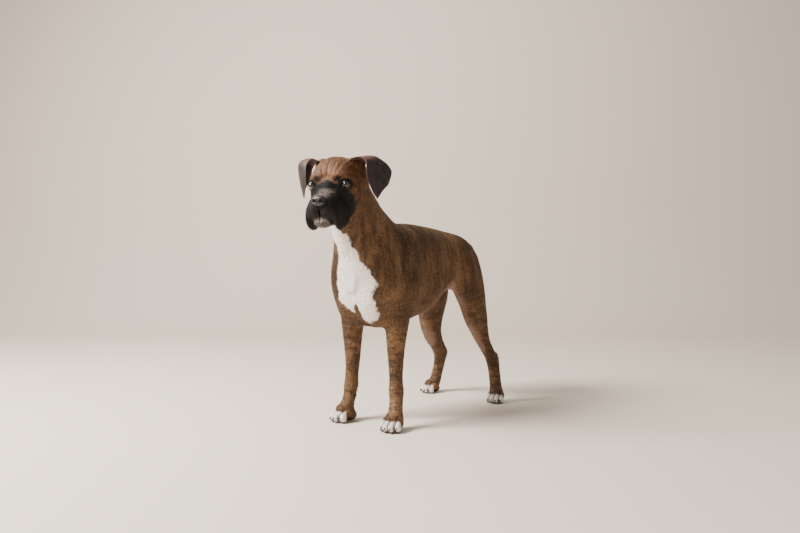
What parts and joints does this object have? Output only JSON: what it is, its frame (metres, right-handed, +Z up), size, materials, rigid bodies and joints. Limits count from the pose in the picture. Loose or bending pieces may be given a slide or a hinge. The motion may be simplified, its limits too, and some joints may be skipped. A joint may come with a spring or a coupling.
{
  "type": "dog",
  "caption": "Standing brindle short-haired dog with a broad blunt muzzle, folded ears, a docked tail, a white breast patch and white toes.",
  "frame": {"origin": "centre of the bounding box on the floor, between the paws", "axes": "+Z up, the dog faces -Y, the dog's left is +X"},
  "size_m": [0.3302, 0.8108, 0.7382],
  "materials": {
    "coat": "short satin fur, warm brown brindle with dark stripes, black mask, white breast and toes",
    "ear": "short velvety dark fur",
    "nose": "damp black pebbled skin",
    "eye": "wet gloss, dark brown iris",
    "claw": "smooth dark horn"
  },
  "bodies": {
    "root": {"claw_fore_left_1": "claw", "claw_fore_left_2": "claw", "claw_fore_left_3": "claw", "claw_fore_left_4": "claw", "claw_fore_right_1": "claw", "claw_fore_right_2": "claw", "claw_fore_right_3": "claw", "claw_fore_right_4": "claw", "claw_hind_left_1": "claw", "claw_hind_left_2": "claw", "claw_hind_left_3": "claw", "claw_hind_left_4": "claw", "claw_hind_right_1": "claw", "claw_hind_right_2": "claw", "claw_hind_right_3": "claw", "claw_hind_right_4": "claw", "dewclaw_left": "claw", "dewclaw_right": "claw", "ear_left": "ear", "ear_right": "ear", "eye_left": "eye", "eye_right": "eye", "foreleg_left": "coat", "foreleg_right": "coat", "forepaw_left": "coat", "forepaw_right": "coat", "head": "coat", "hindleg_left": "coat", "hindleg_right": "coat", "hindpaw_left": "coat", "hindpaw_right": "coat", "neck": "coat", "nose": "nose", "tail": "coat", "thigh_left": "coat", "thigh_right": "coat", "trunk": "coat"}
  },
  "joints": []
}
